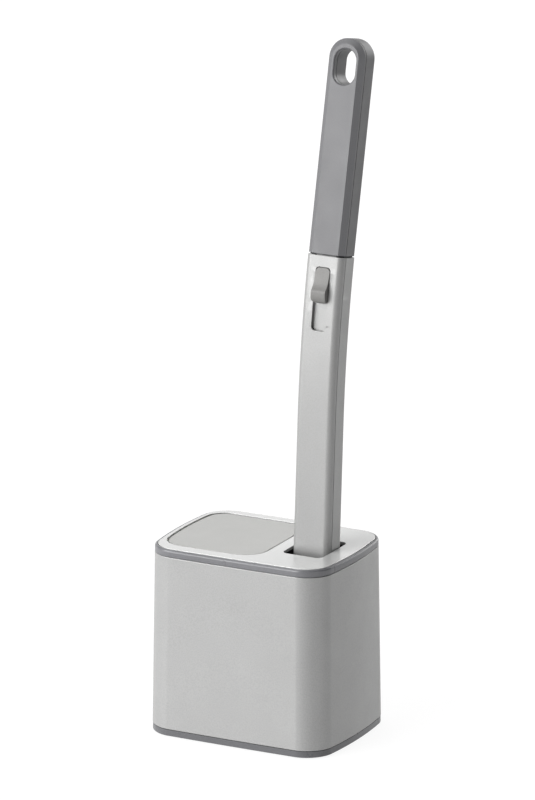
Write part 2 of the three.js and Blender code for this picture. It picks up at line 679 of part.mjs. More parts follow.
function makeSpring() {
  const { bottom, top, coil, wire, turns } = SPRING;
  const height = top - bottom - 2 * wire;
  class Helix extends THREE.Curve {
    getPoint(t, target = new THREE.Vector3()) {
      const angle = 2 * Math.PI * turns * t;
      const y = ROD_Y + coil * Math.sin(angle);
      return target.set(coil * Math.cos(angle), y, bottom + wire + height * t);
    }
  }
  const section = new THREE.Shape();
  section.absarc(0, 0, wire, 0, 2 * Math.PI, false);
  const options = { steps: turns * 8, extrudePath: new Helix(), curveSegments: 3, bevelEnabled: false };
  add(wand, "return_spring", solid(new THREE.ExtrudeGeometry(section, options)), "steel");
  const ring = cut(
    bar("z", 4.1, top + GAP, top + 1.9, 0, ROD_Y),
    bar("z", ROD_RADIUS + GAP, 100, 200, 0, ROD_Y, 12),
  );
  add(wand, "spring_collar", ring, "steel");
}

// The end collar is a fork in the shaft's mouth that carries the two jaw pins.
function makeEndCollar() {
  const { x, z } = JAW_PIVOT;
  const whole = block(-10.4, 10.4, -7.5, 7.5, SHAFT_BOTTOM + GAP, 54);
  const corner = roundedRectangle(-10.5, 10.5, -7.5, 7.5, Array(4).fill(2.2), 3);
  const mouth = block(-20, 20, -JAW_HALF_WIDTH - 0.5, JAW_HALF_WIDTH + 0.5, 20, 51);
  const body = cut(
    whole.intersect(solid(prism(corner, 20, 60))),
    mouth,
    bar("z", ROD_RADIUS + 0.4, 20, 60, 0, ROD_Y, 12),
    bar("y", JAW_PIN_RADIUS + GAP, -20, 20, x, z, 12),
    bar("y", JAW_PIN_RADIUS + GAP, -20, 20, -x, z, 12),
  );
  add(wand, "end_collar", body, "cup");
}

// Each jaw hangs from its pin, follows the wedge's side and ends in a hook for the plug's neck.
function makeJaws() {
  const { bottom, top, tip, slope } = WEDGE;
  const wide = tip + slope * (top - bottom);
  const turn = Math.atan(slope) / (top - bottom); // how far a jaw opens for each millimetre of the rod's travel
  const inner = (z) => wide + GAP - turn * (top - z) ** 2;
  const { x, z } = JAW_PIVOT;
  for (const [side, sign] of [["left", -1], ["right", 1]]) {
    const outline = [
      [6.4, 0], [7, 1], [8.9, z - 8], [9.7, z], [4.6, z],
      ...[38.5, 35, 31.5, bottom].map((height) => [inner(height), height]),
      [1.8, 15], [4.1, 12], [4.1, 7], [1, 4.5], [1, 1], [1.8, 0],
    ];
    const points = outline.map(([px, pz]) => new THREE.Vector2(sign * px, pz));
    const arm = solid(prism(points, -JAW_HALF_WIDTH, JAW_HALF_WIDTH).rotateX(Math.PI / 2));
    const boss = bar("y", 2.6, -JAW_HALF_WIDTH, JAW_HALF_WIDTH, sign * x, z);
    const hole = bar("y", JAW_PIN_RADIUS + GAP, -20, 20, sign * x, z, 12);
    add(wand, "jaw_" + side, cut(join(arm, boss), hole), "inner");
    add(wand, "jaw_pin_" + side, bar("y", JAW_PIN_RADIUS, -7.4, 7.4, sign * x, z, 12), "steel");
  }
}

makeBodySleeve();
makeTopBand();
makeDeckPlate();
makeBasePan();
makeFeetAndScrews();
makeRefillBin();
makeLid();
makeSpareHeads();
makeWandWell();
makeShaftFront();
makeShaftRear();
makeGripFront();
makeGripRear();
makeTenon();
makeWandScrews();
makeThumbButton();
makeSliderStrip();
makePushRod();
makeEjector();
makeSpring();
makeEndCollar();
makeJaws();

export default root;
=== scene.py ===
"""A toilet brush holder: a painted caddy with a lidded bin of spare heads, and a bent wand in its well."""

import json
import math
from contextlib import contextmanager

import bmesh
import bpy
from mathutils import Matrix, Vector


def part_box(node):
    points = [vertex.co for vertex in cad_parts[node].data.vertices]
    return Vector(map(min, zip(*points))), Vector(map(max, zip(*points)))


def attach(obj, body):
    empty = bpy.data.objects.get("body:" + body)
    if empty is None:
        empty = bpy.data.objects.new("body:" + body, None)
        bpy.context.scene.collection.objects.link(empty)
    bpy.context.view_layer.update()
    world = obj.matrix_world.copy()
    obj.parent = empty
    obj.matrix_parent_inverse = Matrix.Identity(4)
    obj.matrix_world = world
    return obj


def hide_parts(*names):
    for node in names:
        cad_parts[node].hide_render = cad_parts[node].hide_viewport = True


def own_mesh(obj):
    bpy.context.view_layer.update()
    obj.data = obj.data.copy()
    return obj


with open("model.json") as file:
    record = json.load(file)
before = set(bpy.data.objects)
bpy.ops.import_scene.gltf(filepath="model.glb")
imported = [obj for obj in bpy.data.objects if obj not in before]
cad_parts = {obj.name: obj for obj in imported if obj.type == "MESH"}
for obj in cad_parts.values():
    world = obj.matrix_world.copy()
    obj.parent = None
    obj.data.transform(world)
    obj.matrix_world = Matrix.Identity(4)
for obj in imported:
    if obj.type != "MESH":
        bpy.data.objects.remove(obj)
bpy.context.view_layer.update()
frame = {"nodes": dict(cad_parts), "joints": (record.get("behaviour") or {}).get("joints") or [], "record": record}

MM = 0.001
LONG_EDGE = 20
FLAT_ANGLE = 2
BODY_OF = {node: body for body, nodes in frame["record"]["behaviour"]["bodies"].items() for node in nodes}
SLOT_OF = {part["node"]: part["material_slot"] for part in frame["record"]["subparts"]}


def span(node):
    """A node's lowest and highest corners in millimetres."""
    low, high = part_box(node)
    return low / MM, high / MM


# --- sizes, in millimetres ------------------------------------------------------------------

sleeve_low, sleeve_high = span("body_sleeve")
PAN_BOTTOM = span("base_pan")[0].z
TOP_BAND_DROP = 0.3

CADDY_Y = (sleeve_low.y + sleeve_high.y) / 2
hinge = next(joint for joint in frame["joints"] if joint["name"] == "lid_hinge")["pos_m"]
LID_PIVOT_Y, LID_PIVOT_Z = hinge[1] / MM - CADDY_Y, hinge[2] / MM
CADDY_HEIGHT = span("top_band")[1].z + TOP_BAND_DROP
TOP_WIDTH, TOP_DEPTH = 115.4, 91.8
BASE_WIDTH, BASE_DEPTH = 118.2, 95.8
CORNER_RADIUS = 15
SIDE_BOW, FRONT_BOW = 4.1, 0.66
CADDY_WALL = 2.2
GAP = 0.3
BAND_HEIGHT = 4.7
BAND_EDGE = 1.7
DECK_THICKNESS, DECK_EDGE = 2, 0.25
BASE_BAND_TOP = 4.9

LID = {"x": (-53, 10.2), "y": (-35, 37.2), "bow": 3.2, "radii": (12, 15, 9, 9)}
LID_TOP = 119.75
LID_THICKNESS, LID_EDGE = 1.8, 0.5
LID_GAP = 1.2
LUGS = ((-47.2, -44.2), (1.2, 4.2))
SLOT = {"x": (20, 47), "y": (-19.5, 17), "radius": 4}
FOOT_X, FOOT_Y, FOOT_RADIUS, FOOT_HEIGHT = 44, 33, 6, 2.6

WAND_X, WAND_FOOT_Y, WAND_FOOT_Z = 34, -5.74, 15
WAND_LEAN = math.radians(3.4)
WAND_WIDTH, WAND_DEPTH, WAND_RADIUS, WAND_WALL = 25, 19, 4, 1.6
BEND_START, BEND_RADIUS, BEND_ANGLE = 181.3, 690, math.radians(9.5)
BEND_END = BEND_START + BEND_RADIUS * BEND_ANGLE
SEAM_Y = -4.8
SEAM_GAP = 0.6
SHAFT_BOTTOM, SHAFT_TOP = 32, 285.9
RING_PITCH, RING_COUNT = 3.93, 26
SHAFT_SCREWS = ((-7.2, 100), (7.2, 205))
TENON_SCREW = 280.5
GRIP_WIDTH, GRIP_DEPTH, GRIP_WALL = 24.3, 17.8, 1.4
GRIP_BOTTOM, GRIP_TOP = -8.8, 122.3
GRIP_CHAMFER = (3.4, 2.6)
GRIP_TENON_SCREW, GRIP_SCREW = 14, 62
HOLE_WIDTH, HOLE_HEIGHT, HOLE_BELOW = 14.3, 22, 6.4
SLIDE_TRAVEL = 14
THUMB_SLOT = {"width": 10.1, "length": 38.7, "radius": 2.5, "middle": 260}
BUTTON_WIDTH, BUTTON_LENGTH, BUTTON_CREST = 9.5, 21.6, 4.5
STRIP_FACE, STRIP_THICKNESS = -7.1, 1
ROUND_END_SLACK, ROUND_END_MERGE = 0.02, 0.06
ROD_Y = 3
SPRING = {"bottom": 130, "top": 168, "coil": 3.4, "wire": 0.45, "turns": 9}


# --- by hand: selecting and editing -----------------------------------------------------------


def take(obj):
    """Selects one object only."""
    bpy.ops.object.select_all(action="DESELECT")
    obj.select_set(True)
    bpy.context.view_layer.objects.active = obj
    return obj


@contextmanager
def editing(obj):
    take(obj)
    bpy.ops.object.mode_set(mode="EDIT")
    yield
    bpy.ops.object.mode_set(mode="OBJECT")


def pick(kind, test):
    """Selects the faces, edges or vertices of the open mesh that pass a test."""
    bpy.ops.mesh.select_mode(type=kind)
    bpy.ops.mesh.select_all(action="DESELECT")
    data = bpy.context.edit_object.data
    mesh = bmesh.from_edit_mesh(data)
    for item in {"VERT": mesh.verts, "EDGE": mesh.edges, "FACE": mesh.faces}[kind]:
        if test(item):
            item.select_set(True)
    bmesh.update_edit_mesh(data)


def middle(edge):
    return (edge.verts[0].co + edge.verts[1].co) / 2


def runs(edge, axis):
    """True for an edge that runs along an axis: 0, 1 or 2."""
    way = edge.verts[1].co - edge.verts[0].co
    return way.length > 1e-6 and abs(way[axis]) > 0.99 * way.length


def level(edge):
    """True for an edge whose two ends are equally high."""
    return abs(edge.verts[0].co.z - edge.verts[1].co.z) < 1e-4


def add_block(name, x, y, z):
    """A block between two x, two y and two z values, to be shaped further."""
    bpy.ops.object.select_all(action="DESELECT")
    bpy.ops.mesh.primitive_cube_add(size=1, location=[(low + high) / 2 for low, high in (x, y, z)])
    obj = bpy.context.active_object
    obj.name = name
    obj.scale = [high - low for low, high in (x, y, z)]
    bpy.ops.object.transform_apply(location=True, rotation=True, scale=True)
    return obj


def add_wall(name, x, y, z, radii, segments, cuts):
    """An upright open wall round a rounded rectangle. The radii start at the front left corner."""
    obj = add_block(name, x, y, z)
    corners = ((x[0], y[0]), (x[1], y[0]), (x[1], y[1]), (x[0], y[1]))
    with editing(obj):
        pick("FACE", lambda face: abs(face.normal.z) > 0.9)
        bpy.ops.mesh.delete(type="ONLY_FACE")
        for corner, radius in zip(corners, radii):
            if not radius:
                continue
            here = Vector(corner)
            pick("EDGE", lambda edge: runs(edge, 2) and (middle(edge).xy - here).length < 1e-3)
            bpy.ops.mesh.bevel(offset=radius, segments=segments, affect="EDGES", clamp_overlap=False)
        if cuts:
            pick("EDGE", lambda edge: level(edge) and edge.calc_length() > LONG_EDGE)
            bpy.ops.mesh.subdivide(number_cuts=cuts)
    return obj


def close_ends(obj):
    """Closes the top and the bottom of an upright wall."""
    with editing(obj):
        heights = [corner.co.z for corner in bmesh.from_edit_mesh(obj.data).verts]
        for end in (min(heights), max(heights)):
            pick("EDGE", lambda edge: edge.is_boundary and level(edge) and abs(middle(edge).z - end) < 1e-3)
            bpy.ops.mesh.edge_face_add()
        bpy.ops.mesh.select_all(action="SELECT")
        bpy.ops.mesh.normals_make_consistent(inside=False)
    return obj


def add_slab(name, x, y, z, radii, segments, cuts):
    return close_ends(add_wall(name, x, y, z, radii, segments, cuts))


def step_end(obj, up, steps):
    """Insets and raises the end face in (inset, rise) pairs. Up is 1 for the top, -1 for the bottom."""
    with editing(obj):
        end = max(up * corner.co.z for corner in bmesh.from_edit_mesh(obj.data).verts)
        pick(
            "FACE",
            lambda face: up * face.normal.z > 0.9 and abs(up * face.calc_center_median().z - end) < 1e-3,
        )
        for inset, rise in steps:
            if inset:
                bpy.ops.mesh.inset(thickness=inset, depth=rise)
            else:
                bpy.ops.mesh.extrude_region_move(TRANSFORM_OT_translate={"value": (0, 0, up * rise)})
    return obj


def rounding(radius, steps=4):
    """The insets and rises that round an edge off."""
    turns = [math.pi / 2 * k / steps for k in range(steps + 1)]
    return [
        (radius * (math.cos(a) - math.cos(b)), radius * (math.sin(b) - math.sin(a)))
        for a, b in zip(turns, turns[1:])
    ]


def turn_profile(name, profile, sides=48, place=None):
    """A turned piece about the z axis, from (radius, height) pairs."""
    mesh = bpy.data.meshes.new(name)
    points = [(radius, 0, height) for radius, height in profile]
    mesh.from_pydata(points, [(k, k + 1) for k in range(len(points) - 1)], [])
    obj = bpy.data.objects.new(name, mesh)
    bpy.context.scene.collection.objects.link(obj)
    with editing(obj):
        bpy.ops.mesh.select_all(action="SELECT")
        bpy.ops.mesh.spin(steps=sides, angle=2 * math.pi, center=(0, 0, 0), axis=(0, 0, 1))
        tidy_faces()
    if place:
        obj.data.transform(place)
    return obj


def turn_bar(name, radius, low, high, sides=32, place=None):
    """A plain round bar along the z axis."""
    return turn_profile(name, [(0, low), (radius, low), (radius, high), (0, high)], sides, place)


def tidy_faces(distance=1e-3):
    """Closes seams and poles and turns every face outwards, in edit mode."""
    bpy.ops.mesh.select_all(action="SELECT")
    bpy.ops.mesh.remove_doubles(threshold=distance)
    bpy.ops.mesh.normals_make_consistent(inside=False)


def apply(obj, kind, **settings):
    """Adds a modifier and applies it."""
    take(obj)
    modifier = obj.modifiers.new(kind.title(), kind)
    for key, value in settings.items():
        setattr(modifier, key, value)
    bpy.ops.object.modifier_apply(modifier=modifier.name)
    return obj


def combine(obj, operation, *tools):
    for tool in tools:
        apply(obj, "BOOLEAN", object=tool, operation=operation, solver="MANIFOLD")
        bpy.data.objects.remove(tool)
    return obj


def cut(obj, *tools):
    return combine(obj, "DIFFERENCE", *tools)


def unite(obj, *tools):
    return combine(obj, "UNION", *tools)


def joined(*objects):
    """Several separate shapes as one object."""
    bpy.ops.object.select_all(action="DESELECT")
    for obj in objects:
        obj.select_set(True)
    bpy.context.view_layer.objects.active = objects[0]
    bpy.ops.object.join()
    return objects[0]


def soften(obj, width, angle=50, segments=2):
    """Rounds the edges sharper than an angle in degrees."""
    return apply(
        obj, "BEVEL", width=width, segments=segments, limit_method="ANGLE",
        angle_limit=math.radians(angle), miter_outer="MITER_ARC", use_clamp_overlap=True,
    )


def smooth(obj, angle=17):
    """Smooth shading that stops at the softened edges, so that the flats stay flat."""
    take(obj)
    bpy.ops.object.shade_smooth_by_angle(angle=math.radians(angle))
    return apply(obj, "WEIGHTED_NORMAL", weight=60, keep_sharp=True)


def settle(obj, *nodes, place=None):
    """Puts a finished piece in its place, in metres, in the stead of its CAD nodes."""
    obj.data.transform(Matrix.Scale(MM, 4) @ (place or Matrix.Identity(4)))
    obj.data.materials.clear()
    obj.data.materials.append(FINISHES[SLOT_OF[nodes[0]]])
    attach(obj, BODY_OF[nodes[0]])
    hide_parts(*nodes)
    return obj


def refined(node, name, width):
    """A softened copy of a plain CAD shape."""
    source = frame["nodes"][node]
    obj = bpy.data.objects.new(name, source.data.copy())
    bpy.context.scene.collection.objects.link(obj)
    obj.data.transform(Matrix.Scale(1 / MM, 4))
    with editing(obj):
        bpy.ops.mesh.select_all(action="SELECT")
        bpy.ops.mesh.remove_doubles(threshold=2e-3)
        bpy.ops.mesh.dissolve_limited(angle_limit=math.radians(FLAT_ANGLE))
    soften(obj, width, 40)
    smooth(obj, 40)
    return settle(obj, node)


# --- frames -----------------------------------------------------------------------------------


def spine(s):
    """Where the wand's centre line is at a distance along it, and how far it has turned."""
    angle = min(max((s - BEND_START) / BEND_RADIUS, 0), BEND_ANGLE)
    after = max(0, s - BEND_END)
    y = BEND_RADIUS * (1 - math.cos(angle)) + after * math.sin(angle)
    z = min(s, BEND_START) + BEND_RADIUS * math.sin(angle) + after * math.cos(angle)
    return y, z, angle


def frame_at(s):
    y, z, angle = spine(s)
    return WAND @ Matrix.Translation((0, y, z)) @ Matrix.Rotation(-angle, 4, "X")


def bend(obj):
    """Lays a straight wand piece along the centre line."""
    for corner in obj.data.vertices:
        y, z, angle = spine(corner.co.z)
        across = corner.co.y
        corner.co.y = y + across * math.cos(angle)
        corner.co.z = z - across * math.sin(angle)
    return obj


CADDY = Matrix.Translation((0, CADDY_Y, 0))
WAND = CADDY @ Matrix.Translation((WAND_X, WAND_FOOT_Y, WAND_FOOT_Z)) @ Matrix.Rotation(-WAND_LEAN, 4, "X")
SLIDER = frame_at(THUMB_SLOT["middle"])
GRIP = frame_at(BEND_END)


# --- finishes ---------------------------------------------------------------------------------


class Finish:
    """A Principled material whose textures read the piece's own coordinates."""

    def __init__(self, name, **sockets):
        self.material = bpy.data.materials.new(name)
        self.material.use_nodes = True
        self.nodes = self.material.node_tree.nodes
        self.links = self.material.node_tree.links
        self.shader = self.nodes["Principled BSDF"]
        for key, value in sockets.items():
            self.shader.inputs[key.replace("_", " ")].default_value = value
        self.place = self.nodes.new("ShaderNodeTexCoord").outputs["Object"]

    def stretch(self, scale):
        node = self.nodes.new("ShaderNodeMapping")
        node.inputs["Scale"].default_value = scale
        self.links.new(self.place, node.inputs["Vector"])
        return node.outputs["Vector"]

    def noise(self, size, detail=3.0, rough=0.55, where=None):
        """Noise whose patches are about size metres across."""
        node = self.nodes.new("ShaderNodeTexNoise")
        node.inputs["Scale"].default_value = 1 / size
        node.inputs["Detail"].default_value = detail
        node.inputs["Roughness"].default_value = rough
        self.links.new(where or self.place, node.inputs["Vector"])
        return node.outputs["Fac"]

    def cells(self, size, feature="F1"):
        node = self.nodes.new("ShaderNodeTexVoronoi")
        node.feature = feature
        node.inputs["Scale"].default_value = 1 / size
        self.links.new(self.place, node.inputs["Vector"])
        return node.outputs["Distance"]

    def ramp(self, value, *stops):
        """A colour ramp of (place, colour) stops."""
        node = self.nodes.new("ShaderNodeValToRGB")
        elements = node.color_ramp.elements
        while len(elements) < len(stops):
            elements.new(0.5)
        for element, (spot, colour) in zip(elements, stops):
            element.position = spot
            element.color = (*colour, 1)
        self.links.new(value, node.inputs["Fac"])
        return node.outputs["Color"]

    def spread(self, value, low, high):
        """Noise carried to a range of values."""
        node = self.nodes.new("ShaderNodeMapRange")
        node.inputs["From Min"].default_value = 0.3
        node.inputs["From Max"].default_value = 0.7
        node.inputs["To Min"].default_value = low
        node.inputs["To Max"].default_value = high
        self.links.new(value, node.inputs["Value"])
        return node.outputs["Result"]

    def multiply(self, first, second):
        """One colour darkened by another."""
        node = self.nodes.new("ShaderNodeMix")
        node.data_type = "RGBA"
        node.blend_type = "MULTIPLY"
        node.inputs["Factor"].default_value = 1.0
        self.links.new(first, node.inputs[6])
        self.links.new(second, node.inputs[7])
        return node.outputs[2]

    def colour(self, value):
        self.links.new(value, self.shader.inputs["Base Color"])

    def roughness(self, value):
        self.links.new(value, self.shader.inputs["Roughness"])

    def bump(self, height, depth, strength):
        """Relief of about depth metres. A second call lies over the first."""
        node = self.nodes.new("ShaderNodeBump")
        node.inputs["Strength"].default_value = strength
        node.inputs["Distance"].default_value = depth
        self.links.new(height, node.inputs["Height"])
        if self.shader.inputs["Normal"].is_linked:
            self.links.new(self.shader.inputs["Normal"].links[0].from_socket, node.inputs["Normal"])
        self.links.new(node.outputs["Normal"], self.shader.inputs["Normal"])


def shade(base, share):
    """A colour made lighter or darker by a share."""
    return tuple(min(1.0, channel * (1 + share)) for channel in base)


def moulded(name, base, grain, depth, rough, drift=0.05, speckle=0.03, **sockets):
    """Plastic or paint: a slow drift of tone, a fine speckle, a grain and a roughness that wanders."""
    finish = Finish(name, **sockets)
    slow = finish.ramp(finish.noise(0.035, 2), (0.3, shade(base, -drift)), (0.7, shade(base, drift)))
    fine = finish.ramp(finish.noise(0.0007, 2), (0.35, (1 - 2 * speckle,) * 3), (0.6, (1, 1, 1)))
    finish.colour(finish.multiply(slow, fine))
    finish.roughness(finish.spread(finish.noise(0.012, 4, 0.6), *rough))
    finish.bump(finish.noise(grain, 3, 0.6), depth, 0.5)
    return finish


def shell_paint():
    finish = moulded("satin_silver_paint", (0.3, 0.3, 0.298), 0.0009, 0.00004, (0.38, 0.46), 0.02, 0.05,
                     Metallic=0.3)
    return finish.material


def deck_gloss():
    finish = moulded("semi_gloss_deck", (0.58, 0.582, 0.577), 0.004, 0.00001, (0.22, 0.27), 0.012, 0.01,
                     Metallic=0.4)
    return finish.material


def lid_matt():
    finish = moulded("matt_lid", (0.4, 0.4, 0.39), 0.0006, 0.00005, (0.55, 0.66), 0.015, 0.04)
    finish.bump(finish.cells(0.0009, "SMOOTH_F1"), 0.00003, 0.5)
    return finish.material


def trim_satin():
    """Satin trim paint with painted shade: the colour is darkened towards the foot, so that the foot band reads a
    shade darker than the top band.
    """
    finish = moulded("satin_trim", (0.125, 0.126, 0.134), 0.0012, 0.00002, (0.26, 0.36), 0.04, 0.05)
    parts = finish.nodes.new("ShaderNodeSeparateXYZ")
    finish.links.new(finish.place, parts.inputs["Vector"])
    tone = finish.shader.inputs["Base Color"].links[0].from_socket
    # painted shade: the colour darkens over the lowest few centimetres, standing in for the weaker light that
    # reaches the foot band
    foot = finish.ramp(parts.outputs["Z"], (0.01, (0.72,) * 3), (0.04, (1, 1, 1)))
    finish.colour(finish.multiply(tone, foot))
    return finish.material


def well_dark():
    return moulded("dark_moulding", (0.022, 0.022, 0.024), 0.0009, 0.00004, (0.5, 0.65), 0.1, 0.08).material


def foot_rubber():
    finish = moulded("foot_rubber", (0.04, 0.04, 0.042), 0.0005, 0.00006, (0.75, 0.9), 0.15, 0.1)
    return finish.material


def grip_cover():
    return moulded("grip_cover", (0.104, 0.104, 0.109), 0.0009, 0.00003, (0.42, 0.52), 0.025, 0.03).material


def grip_shell():
    return moulded("grip_shell", (0.078, 0.078, 0.081), 0.0009, 0.00003, (0.4, 0.52), 0.04, 0.05).material


def shaft_paint():
    return moulded("satin_shaft_paint", (0.26, 0.26, 0.258), 0.001, 0.00003, (0.36, 0.45), 0.02, 0.035,
                   Metallic=0.25).material


def button_satin():
    return moulded("button_satin", (0.14, 0.138, 0.133), 0.0007, 0.00004, (0.45, 0.55), 0.03, 0.05).material


def natural_moulding():
    return moulded("natural_moulding", (0.74, 0.74, 0.7), 0.0015, 0.00003, (0.4, 0.5), 0.03, 0.02,
                   Subsurface_Weight=0.1, Subsurface_Scale=0.002).material


def bright_steel():
    finish = Finish("bright_steel", Metallic=1.0)
    lines = finish.noise(0.0004, 3, 0.6, finish.stretch((1, 1, 0.08)))
    finish.colour(finish.ramp(lines, (0.3, (0.5, 0.5, 0.505)), (0.7, (0.66, 0.66, 0.66))))
    finish.roughness(finish.spread(lines, 0.2, 0.34))
    finish.bump(lines, 0.00002, 0.4)
    return finish.material


def nonwoven_pad():
    finish = Finish("nonwoven_pad", Sheen_Weight=0.4, Sheen_Roughness=0.5)
    fibres = finish.noise(0.0005, 5, 0.7, finish.stretch((1, 0.3, 1)))
    dimples = finish.cells(0.0022)
    tone = finish.ramp(finish.noise(0.008, 3), (0.35, (0.2, 0.38, 0.64)), (0.65, (0.34, 0.54, 0.76)))
    flecks = finish.ramp(fibres, (0.3, (0.72, 0.74, 0.8)), (0.65, (1, 1, 1)))
    finish.colour(finish.multiply(tone, flecks))
    finish.roughness(finish.spread(fibres, 0.82, 0.96))
    finish.bump(fibres, 0.00025, 0.8)
    finish.bump(dimples, 0.0004, 0.5)
    return finish.material


FINISHES = {
    "shell": shell_paint(),
    "deck": deck_gloss(),
    "lid": lid_matt(),
    "trim": trim_satin(),
    "well": well_dark(),
    "feet": foot_rubber(),
    "grip_face": grip_cover(),
    "grip_back": grip_shell(),
    "shaft": shaft_paint(),
    "button": button_satin(),
    "moulding": natural_moulding(),
    "steel": bright_steel(),
    "pad": nonwoven_pad(),
}


# --- caddy ------------------------------------------------------------------------------------


def caddy_span(inset):
    """The caddy's plain outline, moved inwards: x, y and the corner radii."""
    x, y = TOP_WIDTH / 2 - inset, TOP_DEPTH / 2 - inset
    return (-x, x), (-y, y), (CORNER_RADIUS - inset,) * 4


def swell(obj):
    """Bows the caddy's sides and widens it towards the foot."""
    for corner in obj.data.vertices:
        across, along = corner.co.x / (TOP_WIDTH / 2), corner.co.y / (TOP_DEPTH / 2)
        down = 1 - corner.co.z / CADDY_HEIGHT
        x = corner.co.x + SIDE_BOW * across * (1 - along**2)
        y = corner.co.y + FRONT_BOW * along * (1 - across**2)
        corner.co.x = x * (1 + (BASE_WIDTH / TOP_WIDTH - 1) * down)
        corner.co.y = y * (1 + (BASE_DEPTH / TOP_DEPTH - 1) * down)
    return obj


def caddy_slab(name, inset, low, high, wall=False):
    x, y, radii = caddy_span(inset)
    return (add_wall if wall else add_slab)(name, x, y, (low, high), radii, segments=14, cuts=11)


def make_sleeve():
    bottom, top = BASE_BAND_TOP + GAP, CADDY_HEIGHT - BAND_HEIGHT - GAP
    sleeve = caddy_slab("painted_sleeve", 0, bottom, top, wall=True)
    with editing(sleeve):
        tidy_faces()
        pick("EDGE", lambda edge: runs(edge, 2))
        bpy.ops.mesh.subdivide(number_cuts=5)
    apply(sleeve, "SOLIDIFY", thickness=CADDY_WALL, offset=-1, use_even_offset=True)
    soften(sleeve, 0.35)
    swell(sleeve)
    bosses = []
    for x, y in foot_places():
        boss = turn_bar("boss", 4.2, 10, 20, place=Matrix.Translation((x, y, 0)))
        web = add_block("web", sorted((x, math.copysign(59.4, x))), (y - 1, y + 1), (10.5, 19.5))
        bosses.append(unite(boss, web))
    holes = [
        turn_bar("hole", 1.8, 5, 19, 24, Matrix.Translation((x, y, 0)))
        for x, y in foot_places()
    ]
    unite(sleeve, joined(*bosses))
    cut(sleeve, joined(*holes))
    return settle(smooth(sleeve), "body_sleeve", place=CADDY)


def make_top_band():
    bottom, ledge = CADDY_HEIGHT - BAND_HEIGHT, CADDY_HEIGHT - DECK_THICKNESS - GAP
    skirt = bottom - 7
    top = CADDY_HEIGHT - TOP_BAND_DROP
    band = caddy_slab("trim_band", 0, bottom, top - 1.5)
    shoulder = BAND_EDGE - 1.5
    step_end(band, -1, [(CADDY_WALL + GAP, 0), (0, 7), (1.1, 0)])
    step_end(band, 1, rounding(1.5, 6) + [(shoulder, 0), (0, ledge - top), (1.9, 0), (0, skirt - ledge)])
    with editing(band):
        pick("FACE", lambda face: abs(face.calc_center_median().z - skirt) < 1e-3 and len(face.verts) > 12)
        bpy.ops.mesh.delete(type="FACE")
        tidy_faces()
    swell(band)
    soften(band, 0.2)
    return settle(smooth(band), "top_band", place=CADDY)


def bow_left(obj, margin):
    """The lid's left side follows the caddy's."""
    (left, _), (front, rear) = LID["x"], LID["y"]
    reach = (rear - front) / 2 + margin
    for corner in obj.data.vertices:
        along = (corner.co.y - (front + rear) / 2) / reach
        near = min(max(1 - (corner.co.x - left + margin) / 14, 0), 1)
        corner.co.x -= LID["bow"] * near * (1 - along**2)
    return obj


def lid_slab(name, margin, low, high, top=()):
    (left, right), (front, rear) = LID["x"], LID["y"]
    radii = [radius + margin for radius in LID["radii"]]
    x, y = (left - margin, right + margin), (front - margin, rear + margin)
    slab = add_slab(name, x, y, (low, high), radii, 12, 11)
    step_end(slab, 1, top)
    return bow_left(slab, margin)


def slot_slab(name, margin, low, high):
    (left, right), (front, rear) = SLOT["x"], SLOT["y"]
    radii = (SLOT["radius"] + margin,) * 4
    x, y = (left - margin, right + margin), (front - margin, rear + margin)
    return add_slab(name, x, y, (low, high), radii, 8, 0)


def make_deck():
    under = CADDY_HEIGHT - DECK_THICKNESS
    deck = caddy_slab("deck", BAND_EDGE + GAP, under, CADDY_HEIGHT - DECK_EDGE)
    step_end(deck, 1, rounding(DECK_EDGE, 3))
    swell(deck)
    cut(deck, lid_slab("lid_room", LID_GAP, 110, 130), slot_slab("slot_room", 0, 110, 130))
    soften(deck, 0.2)
    return settle(smooth(deck), "deck_plate", place=CADDY)


def make_lid():
    under = LID_TOP - LID_THICKNESS
    lid = lid_slab("bin_lid", 0, under, LID_TOP - LID_EDGE, rounding(LID_EDGE, 3))
    for left, right in LUGS:
        y, z, radius = LID_PIVOT_Y, LID_PIVOT_Z, 2.3
        along_x = Matrix.Translation((0, y, z)) @ Matrix.Rotation(math.pi / 2, 4, "Y")
        eye = turn_bar("eye", radius, left, right, 32, along_x)
        reach = radius - 0.05
        neck = add_block("neck", (left + 0.01, right - 0.01), (y - reach, y + reach), (z, under + 0.5))
        bore = turn_bar("bore", 1.2, left - 1, right + 1, 24, along_x)
        unite(lid, unite(eye, neck))
        cut(lid, bore)
    soften(lid, 0.15)
    return settle(smooth(lid), "refill_lid", place=CADDY)


def foot_places():
    return [(-FOOT_X, -FOOT_Y), (FOOT_X, -FOOT_Y), (FOOT_X, FOOT_Y), (-FOOT_X, FOOT_Y)]


def make_base_pan():
    clearance, floor_top = PAN_BOTTOM, 2.8
    pan = caddy_slab("base_tray", 0.2, clearance + 0.6, BASE_BAND_TOP)
    step_end(pan, -1, rounding(0.6, 3))
    lip = CADDY_WALL + GAP - 0.2
    step_end(pan, 1, [(lip, 0), (0, 9 - BASE_BAND_TOP), (1.6, 0), (0, floor_top - 9)])
    swell(pan)
    posts, rooms = [], []
    for x, y in foot_places():
        place = Matrix.Translation((x, y, 0))
        posts.append(turn_bar("post", 8, 1.3, 9.7, 48, place))
        room = [(0, -1), (6.3, -1), (6.3, 2.9), (3.4, 2.9), (3.4, 6), (1.8, 6), (1.8, 12), (0, 12)]
        rooms.append(turn_profile("room", room, 48, place))
    unite(pan, joined(*posts))
    cut(pan, joined(*rooms))
    soften(pan, 0.2)
    return settle(smooth(pan), "base_pan", place=CADDY)


def cross_recess(head, depth, size):
    """A cross recess for a driver, cut into a screw's head at a height."""
    half = size / 2
    return [
        add_block("recess", (-half, half), (-0.22 * size, 0.22 * size), (head - depth, head + depth)),
        add_block("recess", (-0.22 * size, 0.22 * size), (-half, half), (head - depth, head + depth)),
    ]


